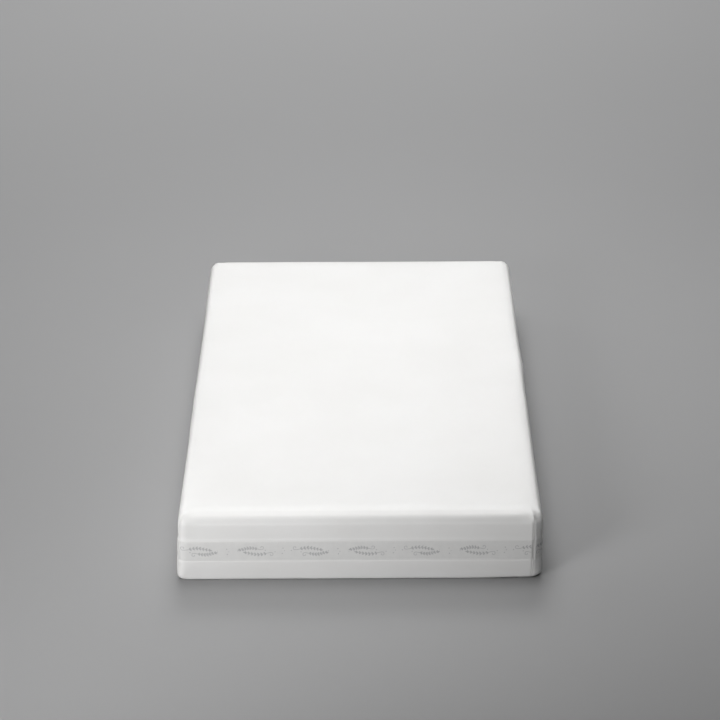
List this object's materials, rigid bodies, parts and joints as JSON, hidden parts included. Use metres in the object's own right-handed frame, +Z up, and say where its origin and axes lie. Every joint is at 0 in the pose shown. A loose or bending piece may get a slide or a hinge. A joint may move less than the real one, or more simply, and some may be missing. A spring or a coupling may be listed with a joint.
{
  "type": "memory foam cot mattress",
  "caption": "Rectangular memory foam cot mattress in a smooth white zipped cover, with a patterned ribbon round its walls and a seam up each corner.",
  "frame": {"origin": "middle of the underside, on the surface that the mattress lies on", "axes": "+Y along the mattress from the front end to the zipped rear end, +X across it, +Z up to the sleeping surface"},
  "size_m": [0.6962, 1.3217, 0.14],
  "materials": {
    "support_foam": "open-cell foam, pale",
    "memory_foam": "dense slow foam, cream",
    "fire_sock_knit": "loose natural knit",
    "sock_thread": "overlocked thread",
    "cover_knit": "smooth white stretch knit, soft sheen",
    "base_cloth": "plain white weave",
    "binding_cloth": "bound white tape",
    "corner_seam_cloth": "rolled seam in the cover's knit",
    "ribbon_satin": "woven satin ribbon, white with a pale grey pattern",
    "zip_tape": "herringbone twill tape",
    "zip_patch": "stitched cloth patch",
    "zip_coil": "white nylon coil",
    "zip_stop_metal": "crimped bare metal",
    "zip_metal": "satin nickel plate",
    "label_cloth": "blank satin label"
  },
  "bodies": {
    "mattress": {"support_foam": "support_foam", "memory_foam": "memory_foam", "fire_sock_tube": "fire_sock_knit", "fire_sock_front_end": "fire_sock_knit", "fire_sock_rear_end": "fire_sock_knit", "fire_sock_front_seam": "sock_thread", "fire_sock_rear_seam": "sock_thread", "cover": "cover_knit", "base_panel": "base_cloth", "base_seam_binding": "binding_cloth", "corner_seam_front_left": "corner_seam_cloth", "corner_seam_front_right": "corner_seam_cloth", "corner_seam_rear_left": "corner_seam_cloth", "corner_seam_rear_right": "corner_seam_cloth", "ribbon_front": "ribbon_satin", "ribbon_rear": "ribbon_satin", "ribbon_left": "ribbon_satin", "ribbon_right": "ribbon_satin", "zip_tape_upper": "zip_tape", "zip_tape_lower": "zip_tape", "zip_patch_closed_end": "zip_patch", "zip_patch_open_end": "zip_patch", "zip_coil_upper": "zip_coil", "zip_coil_lower": "zip_coil", "zip_bottom_stop": "zip_coil", "zip_end_stops": "zip_stop_metal", "care_label": "label_cloth"},
    "zip_slider": {"zip_slider": "zip_metal"},
    "zip_pull": {"zip_pull_tab": "zip_metal"}
  },
  "joints": [
    {"name": "zip_slide", "type": "slide", "parent": "mattress", "child": "zip_slider", "axis": [-1, 0, 0], "range_m": [0, 0.546]},
    {"name": "zip_pull_swing", "type": "hinge", "parent": "zip_slider", "child": "zip_pull", "pos_m": [0.273, 0.6613, 0.024], "axis": [0, 0, -1], "range_deg": [0, 170]}
  ]
}
